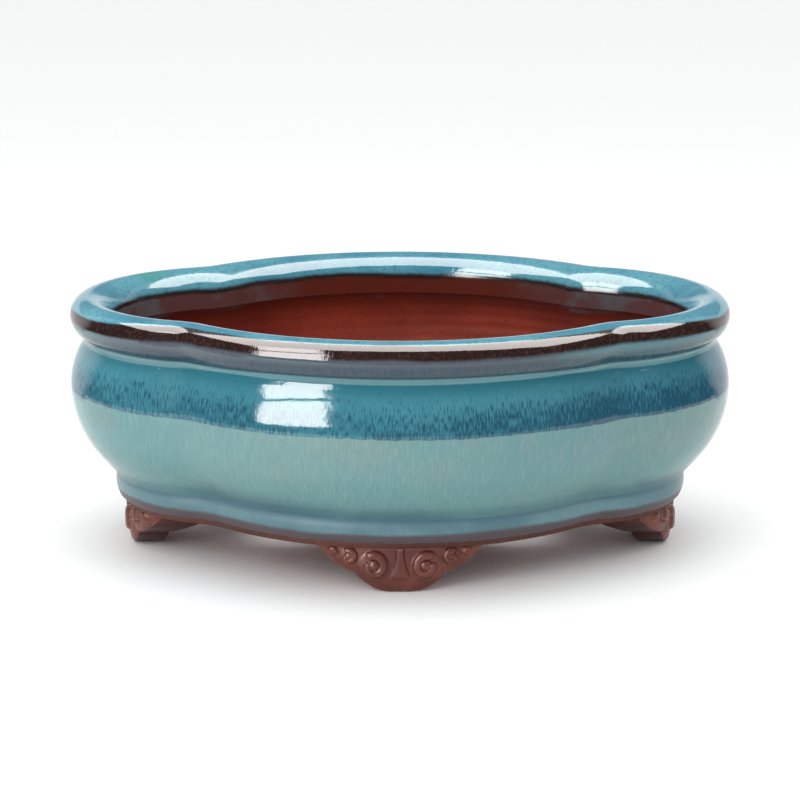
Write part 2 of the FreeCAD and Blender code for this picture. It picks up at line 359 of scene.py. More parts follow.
def even_line(points, step, soften=0.0):
    """The line at even steps, its corners rounded over a given length, and the length at each point."""
    gaps = np.hypot(*np.diff(points, axis=0).T)
    points = points[np.concatenate([[True], gaps > SAME_POINT])]
    length = np.concatenate([[0.0], np.cumsum(np.hypot(*np.diff(points, axis=0).T))])
    fine = np.linspace(0, length[-1], max(4, round(length[-1] / step) + 1))
    line = np.stack([np.interp(fine, length, column) for column in points.T], 1)
    if soften > 0:
        reach = int(3 * soften / step)
        weights = np.exp(-0.5 * (np.arange(-reach, reach + 1) * step / soften) ** 2)
        before = 2 * line[0] - line[reach:0:-1]
        after = 2 * line[-1] - line[-2:-reach - 2:-1]
        padded = np.concatenate([before, line, after])
        line = np.stack([np.convolve(column, weights / weights.sum(), "valid") for column in padded.T], 1)
    return line, fine


GLAZE = 0.0005
WALL = 0.008
NECK_IN = 0.0063
MOUTH_IN = 0.016
BELLY_Z = top_z - 0.035
BELLY_OUT = 0.0002
WAIST_IN = 0.0175
STRAIGHT_RUN = 0.010
COVE = 0.006


def lower_wall():
    """Radius of the wall below the belly, and its lean along the straight run above the waist."""
    run = BELLY_OUT + WAIST_IN
    rise = BELLY_Z - waist_z
    radius = (run ** 2 + rise ** 2 - STRAIGHT_RUN ** 2) / (2 * run)
    reach = math.hypot(radius - run, rise)
    return radius, math.atan2(rise, radius - run) - math.acos(radius / reach)


def bowl_line(inset, neck_offset):
    """The wall's curve from the neck to the waist, inset from its glazed face."""
    radius, lean = lower_wall()
    shoulder = leaning_line((BELLY_OUT - inset, BELLY_Z), (neck_offset, neck_z))[::-1]
    lower = arc_line((BELLY_OUT - radius, BELLY_Z), radius - inset, 0, -lean)
    waist = np.array([[-WAIST_IN - inset / math.cos(lean), waist_z]])
    return np.concatenate([shoulder, lower, waist])


RIB_RIDGE = 0.00012
RIB_PITCH = 0.0055
RIB_SHARE = 0.6
RIB_DRIFT = 2.5
DRIFT_WAVES = (9, 9, 60)
COVE_SOFTNESS = 0.0020
INNER_STEP = 0.0005
OUTER_STEP = 0.0030


def make_wall():
    """The wall as a closed ring, ridged on its inside."""
    inner = bowl_line(GLAZE + WALL, GLAZE - MOUTH_IN)
    cove_end = inner[-1] - [COVE, 0]
    inner, length = even_line(np.concatenate([inner, [cove_end]]), INNER_STEP, COVE_SOFTNESS)
    inner, length = inner[::2], length[::2]
    outer = even_line(bowl_line(GLAZE, -NECK_IN - GLAZE), OUTER_STEP)[0]
    offset = np.concatenate([inner[:, 0], outer[::-1, 0]])[None]
    height = np.concatenate([inner[:, 1], outer[::-1, 1]])[None]
    points = placed(offset, height)
    ridge = np.zeros_like(points[..., 0])
    for row in range(2, len(inner) - 2):
        for column in range(len(points)):
            drift = noise.noise(Vector(points[column, row] * DRIFT_WAVES))
            turn = 2 * math.pi * length[row] / RIB_PITCH + RIB_DRIFT * drift
            ridge[column, row] = math.sin(turn) * (RIB_SHARE + drift)
    points[..., :2] += (RIB_RIDGE * ridge * stations[:, 3][:, None])[..., None] * stations[:, None, 4:6]
    return ring_piece("clay_wall", points, np.concatenate([length, np.full(len(outer), HIDDEN_LENGTH)]))


def section_map(tree):
    """Length round the pot and length down the section."""
    node = tree.nodes.new("ShaderNodeUVMap")
    node.uv_map = "Section"
    return node.outputs[0]


def parts_of(tree, vector):
    """The three sockets of a vector."""
    node = tree.nodes.new("ShaderNodeSeparateXYZ")
    plug(tree, vector, node.inputs[0])
    return node.outputs


def make_wandering_edge():
    """The uneven line where a coat ends or turns: 1 beyond the level, 0 before it."""
    tree, given, made = new_group(
        "Wandering edge",
        [("Position", "Float", 0.0), ("Level", "Float", 0.0), ("Wander", "Float", 0.002),
         ("Waves per metre", "Float", 40.0), ("Ragged", "Float", 0.0005), ("Blur", "Float", 0.0004)],
        [("Mask", "Float")])
    round_only = tree.nodes.new("ShaderNodeCombineXYZ")
    plug(tree, parts_of(tree, section_map(tree))[0], round_only.inputs[0])
    waves = grain(tree, round_only.outputs[0], given["Waves per metre"], 2.0)
    ragged = grain(tree, round_only.outputs[0], times(tree, given["Waves per metre"], 22.0), 2.0)
    slow = times(tree, maths(tree, "SUBTRACT", waves, 0.5), given["Wander"])
    fast = times(tree, maths(tree, "SUBTRACT", ragged, 0.5), given["Ragged"])
    moved = maths(tree, "ADD", given["Position"], maths(tree, "ADD", slow, fast))
    past = maths(tree, "SUBTRACT", moved, given["Level"])
    half = times(tree, given["Blur"], 0.5)
    plug(tree, ramp(tree, past, times(tree, half, -1.0), half), made["Mask"])
    return tree


def make_end_runs():
    """Where the inside glaze ran furthest: at the two ends, and in a few patches between."""
    tree, given, made = new_group(
        "End runs",
        [("Start", "Float", 0.035), ("Full", "Float", 0.075), ("Shift", "Float", 2.6)],
        [("Mask", "Float")])
    along = maths(tree, "ABSOLUTE", parts_of(tree, object_place(tree))[0])
    ends = ramp(tree, along, given["Start"], given["Full"])
    patches = clouded(tree, patches=15.0, shift=given["Shift"], low=0.56, high=0.64)
    reached = maths(tree, "MAXIMUM", ends, patches)
    thicker = clouded(tree, patches=50.0, shift=6.2, low=0.40, high=0.60)
    depth = scaled(tree, thicker, 0.65, 0.30)
    plug(tree, times(tree, reached, depth), made["Mask"])
    return tree


wandering_edge = make_wandering_edge()
end_runs = make_end_runs()


def beyond(tree, position, level, wander, blur, waves=22.0, ragged=0.0008):
    """Mask beyond a level whose edge wanders, with so many waves per metre."""
    return use(tree, wandering_edge, Position=position, Level=level, Wander=wander, Blur=blur,
               Waves_per_metre=waves, Ragged=ragged)["Mask"]


INNER_SHEEN = 0.20
WIPED_DULL = 0.62
SMEAR_DULL = 0.32
SMEAR_LOW = 0.0015
INNER_CLAY = (0.340, 0.050, 0.022)
INNER_CLAY_DARK = (0.200, 0.028, 0.015)
UNDER_LIP_SHADE = (0.100, 0.018, 0.011)
DRY_GLAZE = (0.090, 0.106, 0.122)


def make_inner_clay():
    """Wiped clay in clouds of two tones, darkened in a level band under the lip as painted shade from the
    roll, with a dull smear of glaze there.
    """
    finish, tree, shader = new_finish("wiped_clay", WIPED_DULL)
    shader.inputs["Specular IOR Level"].default_value = INNER_SHEEN
    clouds = clouded(tree, patches=18.0, shift=0.3)
    body = use(tree, clay_body, Grit_per_metre=900.0, Speck_share=0.25)
    place = parts_of(tree, object_place(tree))
    colour = blend(tree, clouds, INNER_CLAY, INNER_CLAY_DARK)
    toned = blend(tree, ramp(tree, body["Grit"], 0.4, 0.8), colour, INNER_CLAY_DARK)
    smear = beyond(tree, place[2], neck_z - SMEAR_LOW, wander=0.012, blur=0.0010, waves=18.0)
    smear = times(tree, smear, use(tree, end_runs)["Mask"])
    # Painted shade: the clay darkens towards the lip, where the overhanging roll shades the inside wall.
    toned = blend(tree, ramp(tree, place[2], neck_z - 0.013, neck_z + 0.002), toned, UNDER_LIP_SHADE)
    colour = blend(tree, smear, toned, DRY_GLAZE)
    plug(tree, colour, shader.inputs["Base Color"])
    rough = scaled(tree, smear, SMEAR_DULL - WIPED_DULL, WIPED_DULL)
    plug(tree, rough, shader.inputs["Roughness"])
    press(tree, shader, body["Height"], depth=0.00010)
    return finish


wall = make_wall()
wall.data.materials.append(make_inner_clay())
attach(wall, "root")
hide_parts("bowl_wall")

# ----------------------------------------
# Rim roll and base band: a rolled coil on top of the wall, wholly under glaze, and a moulded strip
# round the slab. Only the strip's lower edge is left bare, where it was wiped to clear the kiln shelf.
# ----------------------------------------
RED_CLAY = (0.125, 0.041, 0.030)
RED_CLAY_DARK = (0.078, 0.024, 0.018)

bare_clay = make_bare_clay("bare_clay", RED_CLAY, RED_CLAY_DARK)
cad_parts["rim_roll"].data.materials[0] = bare_clay
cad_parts["base_band"].data.materials[0] = bare_clay

# ----------------------------------------
# Feet: four clouds pressed in one mould from red clay and luted under the band. Each has a pair of
# large volutes, a pair of small curls and buds, and a leaf between, burnished to a soft sheen.
# ----------------------------------------
FOOT_HALF_WIDTH = 0.0315
FOOT_BREADTH = 0.012
FOOT_ROUND = 0.0045
FOOT_ROUND_DEPTH = 0.0022
TOE_HALF_WIDTH = 0.0030
DIP_PLACE = 0.0168
DIP_HEIGHT = 0.0070
SCROLL_BOW = 0.0017
FOOT_STEP = 0.00027
RELIEF = 0.0020
RELIEF_SKIN = 0.0001
EDGE_FADE = 0.0010
OUTLINE_STEP = 0.0004
ROW_CROWDING = 0.85
FOOT_CREASE = 75
foot_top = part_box("base_band")[0].z
foot_front_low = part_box("foot_front")[0]
relief_face = -rim_high.y - foot_front_low.y - RELIEF_SKIN
foot_face = relief_face - RELIEF


def foot_underside():
    """The cloud outline from the middle of the toe to the tip, as (across, height)."""
    run = DIP_PLACE - TOE_HALF_WIDTH
    radius = (run ** 2 + DIP_HEIGHT ** 2) / (2 * DIP_HEIGHT)
    sweep = math.atan2(run, radius - DIP_HEIGHT)
    lobe = arc_line((TOE_HALF_WIDTH, radius), radius, -math.pi / 2, sweep - math.pi / 2)
    dip, tip = np.array([DIP_PLACE, DIP_HEIGHT]), np.array([FOOT_HALF_WIDTH, foot_top])
    share = np.linspace(0, 1, ARC_POINTS)[:, None]
    way = tip - dip
    out = np.array([way[1], -way[0]]) / np.hypot(*way)
    scroll = dip + share * way + 4 * share * (1 - share) * SCROLL_BOW * out
    return np.concatenate([[[0.0, 0.0]], lobe, scroll])


underside = foot_underside()


def dome(distance, radius):
    """A round swelling: 1 in the middle, 0 from the radius outwards."""
    return np.sqrt(np.clip(1 - (distance / radius) ** 2, 0, 1))


COIL_START = math.radians(60)
EYE_SHARE = 1.35
EYE_HEIGHT = 0.95
COIL_FULL = 1.05
COIL_TAPER = 0.25
SWELLING = 0.35


def scroll_height(across, down, place, drop, radius, coil_radius, turns, side):
    """Height of a scroll, 0 to 1: a round coil that starts at the top and winds in round a domed eye."""
    x, z = side * across - place, drop - down
    distance = np.hypot(x, z)
    turn = ((np.arctan2(z, x) - COIL_START) % (2 * np.pi)) / (2 * np.pi)
    eye = EYE_SHARE * coil_radius
    pitch = (radius - eye) / turns
    coil = np.zeros_like(distance)
    for lap in range(math.ceil(turns) + 1):
        wound = turn + lap
        middle = radius - pitch * wound
        thick = coil_radius * np.clip(COIL_FULL - COIL_TAPER * wound / turns, 0, 1)
        coil = np.maximum(coil, np.where(wound <= turns, dome(distance - middle, thick), 0))
    swelling = SWELLING * dome(distance, radius + coil_radius)
    return swelling + (1 - SWELLING) * np.maximum(coil, EYE_HEIGHT * dome(distance, eye))


# place across, drop below the band, coil path radius, coil radius, turns, share of the full relief
SCROLLS = ((0.0098, 0.0070, 0.0042, 0.00165, 0.90, 1.00),
           (0.0193, 0.0035, 0.0021, 0.00125, 0.80, 0.85),
           (0.0257, 0.0020, 0.0006, 0.00120, 0.40, 0.60))
LEAF_TOP_HALF_WIDTH = 0.0014
LEAF_TIP_HALF_WIDTH = 0.0042
LEAF_LENGTH = 0.0122
LEAF_END = 0.0015
LEAF_FLARE = 2.2
LEAF_HEIGHT = 0.75
LEAF_FALL = 0.35


def foot_relief(across, height):
    """How far the moulded relief stands out, in metres."""
    down = foot_top - height
    out = np.zeros_like(across)
    for side in (-1, 1):
        for place, drop, radius, coil_radius, turns, share in SCROLLS:
            scroll = scroll_height(across, down, place, drop, radius, coil_radius, turns, side)
            out = np.maximum(out, RELIEF * share * scroll)
    length = np.clip(down / LEAF_LENGTH, 0, 1)
    half = LEAF_TOP_HALF_WIDTH + (LEAF_TIP_HALF_WIDTH - LEAF_TOP_HALF_WIDTH) * length ** LEAF_FLARE
    ends = np.clip((LEAF_LENGTH - down) / LEAF_END, 0, 1)
    leaf = dome(across, half) * np.sqrt(ends) * (LEAF_HEIGHT - LEAF_FALL * length)
    return np.maximum(out, RELIEF * leaf)


def grid_faces(here):
    """Four-cornered faces between the points of a numbered grid."""
    return np.stack([here[:-1, :-1], here[1:, :-1], here[1:, 1:], here[:-1, 1:]], 2).reshape(-1, 4)


SEAM = 1e-6


def make_foot(name, lobe_r, half_extent, turn):
    """A foot under the lobe that faces -Y, turned to its own lobe."""
    columns = int(2 * FOOT_HALF_WIDTH / FOOT_STEP)
    rows = int(foot_top / FOOT_STEP)
    across = np.linspace(-FOOT_HALF_WIDTH, FOOT_HALF_WIDTH, columns)[:, None] * np.ones((1, rows))
    lowest = np.interp(np.abs(across[:, :1]), underside[:, 0], underside[:, 1])
    share = np.linspace(0, 1, rows)[None] ** ROW_CROWDING
    height = foot_top - (foot_top - lowest) * share
    line = even_line(underside, OUTLINE_STEP)[0]
    edge = np.full(across.shape, 1.0)
    for point in np.concatenate([line, line * (-1, 1)]):
        edge = np.minimum(edge, np.hypot(across - point[0], height - point[1]))
    near = np.clip(edge / FOOT_ROUND, 0, 1)
    pillow = FOOT_ROUND_DEPTH * (1 - np.sqrt(1 - (1 - near) ** 2))
    fade = np.clip(edge / EDGE_FADE, 0, 1)
    front = foot_face - pillow + foot_relief(across, height) * fade
    back = np.full(across.shape, foot_face - FOOT_BREADTH)
    centre_y = lobe_r - half_extent
    sheets = []
    for depth in (front, back):
        reach = lobe_r + depth
        sheets.append(np.stack([across, centre_y - np.sqrt(reach ** 2 - across ** 2), height], 2))
    points = np.concatenate([sheet.reshape(-1, 3) for sheet in sheets])
    here = np.arange(columns * rows).reshape(columns, rows)
    over = here + columns * rows
    quads = [grid_faces(here), grid_faces(over)[:, (0, 3, 2, 1)]]
    for first, second in ((here[:, 0], over[:, 0]), (over[:, -1], here[:, -1]), (over[0], here[0]),
                          (here[-1], over[-1])):
        quads.append(np.stack([first[:-1], second[:-1], second[1:], first[1:]], 1))
    spin = np.array([[math.cos(turn), math.sin(turn), 0], [-math.sin(turn), math.cos(turn), 0], [0, 0, 1]])
    mesh = bpy.data.meshes.new(name)
    mesh.from_pydata((points @ spin).tolist(), [], np.concatenate(quads).tolist())
    build = bmesh.new()
    build.from_mesh(mesh)
    bmesh.ops.remove_doubles(build, verts=build.verts, dist=SEAM)
    bmesh.ops.recalc_face_normals(build, faces=build.faces)
    build.to_mesh(mesh)
    build.free()
    return shown(name, mesh, FOOT_CREASE)


FOOT_CLAY = (0.175, 0.052, 0.038)
FOOT_CLAY_DARK = (0.115, 0.032, 0.024)
FOOT_WEAR_AND_HIGHLIGHT = (0.240, 0.095, 0.074)
FOOT_HOLLOW_SHADE = (0.040, 0.009, 0.007)
BURNISHED_DULL = 0.42
BURNISHED_BRIGHT = 0.20


def make_foot_clay():
    """Burnished clay: hollows darkened as painted shade, raised edges lighter partly as wear where hands and
    tables touch it and partly as a painted highlight.
    """
    finish, tree, shader = new_finish("burnished_clay", BURNISHED_DULL)
    shader.inputs["Specular IOR Level"].default_value = CLAY_SHEEN
    clouds = clouded(tree, patches=60.0, shift=0.7)
    body = use(tree, clay_body, Grit_per_metre=1100.0, Speck_share=0.3)
    hollow = tree.nodes.new("ShaderNodeNewGeometry").outputs["Pointiness"]
    colour = blend(tree, clouds, FOOT_CLAY, FOOT_CLAY_DARK)
    toned = blend(tree, ramp(tree, body["Grit"], 0.4, 0.8), colour, RED_CLAY_DARK)
    # Wear and painted highlight: the raised edges of the relief are lightened.
    worn_and_highlit = blend(tree, ramp(tree, hollow, 0.505, 0.56), toned, FOOT_WEAR_AND_HIGHLIGHT)
    # Painted shade: the hollows of the relief are darkened.
    colour = blend(tree, ramp(tree, hollow, 0.498, 0.450), worn_and_highlit, FOOT_HOLLOW_SHADE)
    plug(tree, colour, shader.inputs["Base Color"])
    rough = scaled(tree, body["Grit"], BURNISHED_DULL - BURNISHED_BRIGHT, BURNISHED_BRIGHT)
    plug(tree, rough, shader.inputs["Roughness"])
    press(tree, shader, body["Height"], depth=0.00012)
    return finish


foot_clay = make_foot_clay()
feet = (("foot_front", LONG_LOBE_R, rim_high.y, 0), ("foot_right", END_LOBE_R, rim_high.x, math.pi / 2),
        ("foot_back", LONG_LOBE_R, rim_high.y, math.pi), ("foot_left", END_LOBE_R, rim_high.x, -math.pi / 2))
for node, lobe_r, half_extent, turn in feet:
    foot = make_foot("cloud_" + node, lobe_r, half_extent, turn)
    foot.data.materials.append(foot_clay)
    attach(foot, "root")
    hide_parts(node)

# ----------------------------------------
# Rim glaze: a thick runny glaze over the roll. It lies blue on top, breaks brown-black where it
# thins on the outer edge, pools grey-blue under the roll and ends inside in dark runs. Next to the neck
# the pool is darkened further, partly as painted shade, and the bare clay inside the lip carries painted
# shade.
# ----------------------------------------
RIM_ROLL_R = 0.007
RIM_BREADTH = 0.017
BAND_SWELL = 0.0009
BAND_SWELL_DROP = 0.003
BAND_TUCK = 0.003
BARE_CLAY = 0.0022
POOL = 0.0016
GLAZE_STEP = 0.0010
EDGE_WAVE = 0.0006
INNER_TAPER = 0.006
UNEVEN = 0.00016
UNEVEN_FINE = 0.00005
EDGE_REACH = 0.004
COAT_SHARE = 0.9
LIP_SHARE = 1.2
LIP_ROUNDING = 0.85
EDGE_WAVES = 60
EDGE_FINE_WAVES = 420
EDGE_FINE_SHARE = 0.4
EDGE_LAG = 0.6
SLOW_WAVES = (28, 28, 34)
SLOW_SHIFT = (0, 0, 5)
QUICK_WAVES = (110, 110, 60)
FACE_STEP = 0.0002
UNDER_THINNING = 5
CROWN = 0.004


def glaze_line():
    """The whole glazed face, from behind the neck over the rim and down to the band's lower edge."""
    lip_r = RIM_BREADTH - RIM_ROLL_R
    side = (0.0, top_z - RIM_ROLL_R)
    inside = np.array([[-MOUTH_IN, neck_z]])
    lip = arc_line((-RIM_ROLL_R, top_z - lip_r), lip_r, math.pi, math.pi / 2)
    crest = arc_line((-RIM_ROLL_R, side[1]), RIM_ROLL_R, math.pi / 2, 0)
    under = leaning_line(side, (-NECK_IN, neck_z))
    bowl = bowl_line(0.0, -NECK_IN)
    swell = (BAND_SWELL - WAIST_IN, waist_z - BAND_SWELL_DROP)
    upper_band = leaning_line(swell, (-WAIST_IN, waist_z))[::-1]
    run, drop = BAND_SWELL + BAND_TUCK, swell[1] - foot_top
    radius = (run ** 2 + drop ** 2) / (2 * run)
    low = math.asin((swell[1] - foot_top - BARE_CLAY) / radius)
    lower_band = arc_line((swell[0] - radius, swell[1]), radius, 0, -low)
    return np.concatenate([inside, lip, crest, under, bowl, upper_band, lower_band])


glaze_face, glaze_length = even_line(glaze_line(), FACE_STEP, POOL)


def length_at(height, beyond):
    """Length down the face where it first passes a height after a given length."""
    below = (glaze_length > beyond) & (glaze_face[:, 1] <= height)
    return glaze_length[np.argmax(below)]


crest_length = glaze_length[np.argmax(glaze_face[:, 1])]
neck_length = length_at(neck_z, crest_length)
waist_length = length_at(waist_z, neck_length)
edge_length = glaze_length[-1]


def glaze_coat(name, start, end):
    """A stretch of the coat as a closed skin over the clay, uneven as poured glaze is."""
    count = round((end - start) / GLAZE_STEP)
    down = np.linspace(start, end, count + 1)
    last = end == edge_length
    spread = np.clip((down - edge_length + EDGE_REACH) / EDGE_REACH, 0, 1) ** 2 * last
    wave = np.array([noise.noise(Vector((EDGE_WAVES * math.cos(turn), EDGE_WAVES * math.sin(turn), 3.0)))
                     for turn in around[:-1] * 2 * math.pi / around[-1]])
    fine = np.array([noise.noise(Vector((turn * EDGE_FINE_WAVES, 7.0, 0.0))) for turn in around[:-1]])
    slide = EDGE_WAVE * (wave + EDGE_FINE_SHARE * fine - EDGE_LAG)[:, None] * spread[None]
    where = np.clip(down[None] + slide, 0, edge_length)
    offset = np.interp(where, glaze_length, glaze_face[:, 0])
    height = np.interp(where, glaze_length, glaze_face[:, 1])
    taper = GLAZE * COAT_SHARE * np.clip(1 - down / INNER_TAPER, 0, 1) ** 2
    lip = np.clip(1 - (edge_length - down) / (LIP_SHARE * GLAZE), 0, 1) * last
    rounding = GLAZE * LIP_ROUNDING * (1 - np.sqrt(1 - lip ** 2))
    points = placed(offset - taper[None] - rounding[None], height)
    for column in range(len(points)):
        for row in range(len(down)):
            spot = points[column, row]
            slow = noise.noise(Vector(spot * SLOW_WAVES + SLOW_SHIFT))
            quick = noise.noise(Vector(spot * QUICK_WAVES))
            sink = UNEVEN * (0.5 + 0.5 * slow) + UNEVEN_FINE * quick
            push = sink * stations[column, 3]
            points[column, row, 0] -= push * stations[column, 4]
            points[column, row, 1] -= push * stations[column, 5]
            points[column, row, 2] -= sink * 0.5 if spot[2] > top_z - CROWN else 0.0
    inner = np.linspace(end, start, max(3, count // UNDER_THINNING))
    under = placed(*clay_under(inner))
    lengths = np.concatenate([down, np.full(len(inner), HIDDEN_LENGTH)])
    return ring_piece(name, np.concatenate([points, under], 1), lengths)


def clay_under(lengths):
    """Offsets and heights of the clay behind the face at given lengths."""
    slope = np.gradient(glaze_face, glaze_length, axis=0)
    slope /= np.hypot(*slope.T)[:, None]
    clay = glaze_face + COAT_SHARE * GLAZE * np.stack([slope[:, 1], -slope[:, 0]], 1)
    offset = np.interp(lengths, glaze_length, clay[:, 0])
    height = np.interp(lengths, glaze_length, clay[:, 1])
    return offset[None], height[None]


def make_glaze_runs():
    """Fine streaks that run down the glaze, as it flowed in the kiln."""
    tree, given, made = new_group(
        "Glaze runs",
        [("Streaks per metre", "Float", 1500.0), ("Stretch", "Float", 0.15), ("Low", "Float", 0.45),
         ("High", "Float", 0.65), ("Wriggle", "Float", 0.3)],
        [("Mask", "Float")])
    along = parts_of(tree, section_map(tree))
    place = tree.nodes.new("ShaderNodeCombineXYZ")
    plug(tree, along[0], place.inputs[0])
    plug(tree, times(tree, along[1], given["Stretch"]), place.inputs[1])
    fineness = given["Streaks per metre"]
    streaks = grain(tree, place.outputs[0], fineness, 2.0, 0.5, given["Wriggle"])
    plug(tree, ramp(tree, streaks, given["Low"], given["High"]), made["Mask"])
    return tree


def make_glaze_skin():
    """Relief of the glassy skin: long ripples, orange peel and a few pinholes."""
    tree, given, made = new_group(
        "Glaze skin",
        [("Ripples per metre", "Float", 160.0), ("Peel", "Float", 0.25), ("Pinholes", "Float", 0.4)],
        [("Height", "Float"), ("Pinhole", "Float")])
    place = object_place(tree)
    ripples = grain(tree, place, given["Ripples per metre"], 2.0, 0.5, 0.3)
    peel = grain(tree, place, times(tree, given["Ripples per metre"], 5.0), 2.0)
    spots = tree.nodes.new("ShaderNodeTexVoronoi")
    plug(tree, place, spots.inputs["Vector"])
    plug(tree, times(tree, given["Ripples per metre"], 0.9), spots.inputs["Scale"])
    hole = ramp(tree, spots.outputs["Distance"], 0.055, 0.02)
    pinhole = times(tree, hole, given["Pinholes"])
    height = scaled(tree, peel, given["Peel"], ripples)
    plug(tree, maths(tree, "SUBTRACT", height, pinhole), made["Height"])
    plug(tree, pinhole, made["Pinhole"])
    return tree


glaze_runs = make_glaze_runs()
glaze_skin = make_glaze_skin()


def streaked(tree, streaks, stretch, low, high, wriggle=0.3):
    """Mask of glaze runs, with so many streaks per metre."""
    return use(tree, glaze_runs, Streaks_per_metre=streaks, Stretch=stretch, Low=low, High=high,
               Wriggle=wriggle)["Mask"]


RIM_BLUE = (0.060, 0.240, 0.335)
RIM_BLUE_PALE = (0.120, 0.350, 0.420)
RIM_BLUE_DEEP = (0.030, 0.160, 0.240)
RIM_GREEN = (0.060, 0.300, 0.240)
BREAK_BROWN = (0.022, 0.011, 0.010)
BREAK_RED = (0.110, 0.045, 0.038)
UNDER_TEAL = (0.075, 0.165, 0.185)
UNDER_MAUVE = (0.090, 0.092, 0.116)
UNDER_POOL_AND_SHADE = (0.018, 0.045, 0.066)
SHOULDER_PALE = (0.150, 0.285, 0.310)
GLOSS = 0.07
DULL = 0.30
THIN_DULL = 0.14
PIT_DULL = 0.4
LINE_RISE = 0.0026


def make_rim_finish():
    """The rim's colours follow the length down the face: inside runs on clay darkened as painted shade, blue
    top, brown break, grey pool, darker next to the neck partly as painted shade.
    """
    finish, tree, shader = new_finish("rim_glaze", GLOSS)
    down = parts_of(tree, section_map(tree))[1]
    clouds = clouded(tree, patches=24.0, shift=1.3)
    mottle = clouded(tree, patches=700.0, shift=0.9, low=0.46, high=0.70)
    streaks = streaked(tree, streaks=1300.0, stretch=0.2, low=0.35, high=0.7)
    blue = blend(tree, clouds, RIM_BLUE, RIM_BLUE_PALE)
    place = parts_of(tree, object_place(tree))
    corner = times(tree, ramp(tree, place[0], -0.092, -0.104), ramp(tree, place[1], 0.030, 0.044))
    green_share = scaled(tree, clouds, 0.5, 0.4)
    blue = layered(tree, blue, (mottle, 0.55, RIM_BLUE_DEEP), (corner, green_share, RIM_GREEN))
    broad = clouded(tree, patches=8.0, shift=4.4, low=0.42, high=0.60)
    pool = blend(tree, broad, UNDER_TEAL, UNDER_MAUVE)
    across = maths(tree, "ABSOLUTE", place[0])
    risen = scaled(tree, ramp(tree, across, 0.090, 0.040), LINE_RISE, down)
    # Painted shade in part: next to the neck, under the overhanging roll, the pool is darkened, partly as
    # deeper streaked glaze and partly as the roll's shade.
    deep = ramp(tree, risen, neck_length - 0.0098, neck_length - 0.0058)
    deep_share = scaled(tree, streaks, 0.3, 0.68)
    pool = layered(tree, pool, (streaks, 0.35, UNDER_TEAL), (deep, deep_share, UNDER_POOL_AND_SHADE))
    pool = blend(tree, ramp(tree, risen, neck_length - 0.0022, neck_length - 0.0008), pool, SHOULDER_PALE)
    onto_blue = beyond(tree, down, 0.0088, wander=0.0040, blur=0.0018)
    toward_end = ramp(tree, across, 0.085, 0.128)
    sunk = scaled(tree, toward_end, -0.0042, down)
    less_sunk = scaled(tree, toward_end, -0.0020, down)
    off_blue = beyond(tree, sunk, crest_length + 0.0040, wander=0.0040, blur=0.0010)
    off_break = beyond(tree, less_sunk, crest_length + 0.0106, wander=0.0036, blur=0.0016)
    smear = beyond(tree, down, 0.0068, wander=0.0045, blur=0.0012)
    # Painted shade: the bare clay inside the lip is darkened as if shaded by the roll.
    bare = blend(tree, use(tree, end_runs)["Mask"], UNDER_LIP_SHADE, DRY_GLAZE)
    inner = blend(tree, smear, bare, BREAK_BROWN)
    colour = blend(tree, onto_blue, inner, blue)
    brown = layered(tree, BREAK_BROWN, (mottle, 0.4, BREAK_RED))
    colour = blend(tree, off_blue, colour, brown)
    colour = blend(tree, off_break, colour, pool)
    plug(tree, colour, shader.inputs["Base Color"])
    skin = use(tree, glaze_skin, Ripples_per_metre=110.0)
    dry = scaled(tree, onto_blue, GLOSS - THIN_DULL, THIN_DULL)
    plug(tree, scaled(tree, skin["Pinhole"], PIT_DULL, dry), shader.inputs["Roughness"])
    press(tree, shader, scaled(tree, streaks, 0.10, skin["Height"]), depth=0.00006)
    return finish


rim = glaze_coat("rim_coat", 0.0, neck_length)
rim.data.materials.append(make_rim_finish())
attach(rim, "root")
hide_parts("rim_glaze")

# ----------------------------------------
# Belly glaze: the same glaze poured over the bowl. Above the widest line it lies deep teal with dark
# blue flecks that crowd towards its lower edge; below it is a pale celadon green, streaked all over.
# ----------------------------------------
DEEP_TEAL = (0.024, 0.148, 0.198)
DEEP_TEAL_LIGHT = (0.085, 0.300, 0.360)
FLECK_BLUE = (0.010, 0.050, 0.090)
FUR_BASE = (0.033, 0.150, 0.205)
CELADON = (0.160, 0.272, 0.258)
CELADON_COOL = (0.118, 0.275, 0.290)
CELADON_WARM = (0.155, 0.270, 0.222)
CELADON_LOW = (0.105, 0.245, 0.245)
CELADON_MAUVE = (0.168, 0.235, 0.242)
CELADON_SHADY = (0.095, 0.200, 0.215)
STREAK_TEAL = (0.070, 0.180, 0.190)
STREAK_PALE = (0.240, 0.370, 0.340)
WAIST_BLUE = (0.030, 0.108, 0.142)
FUR_DEPTH = 0.019


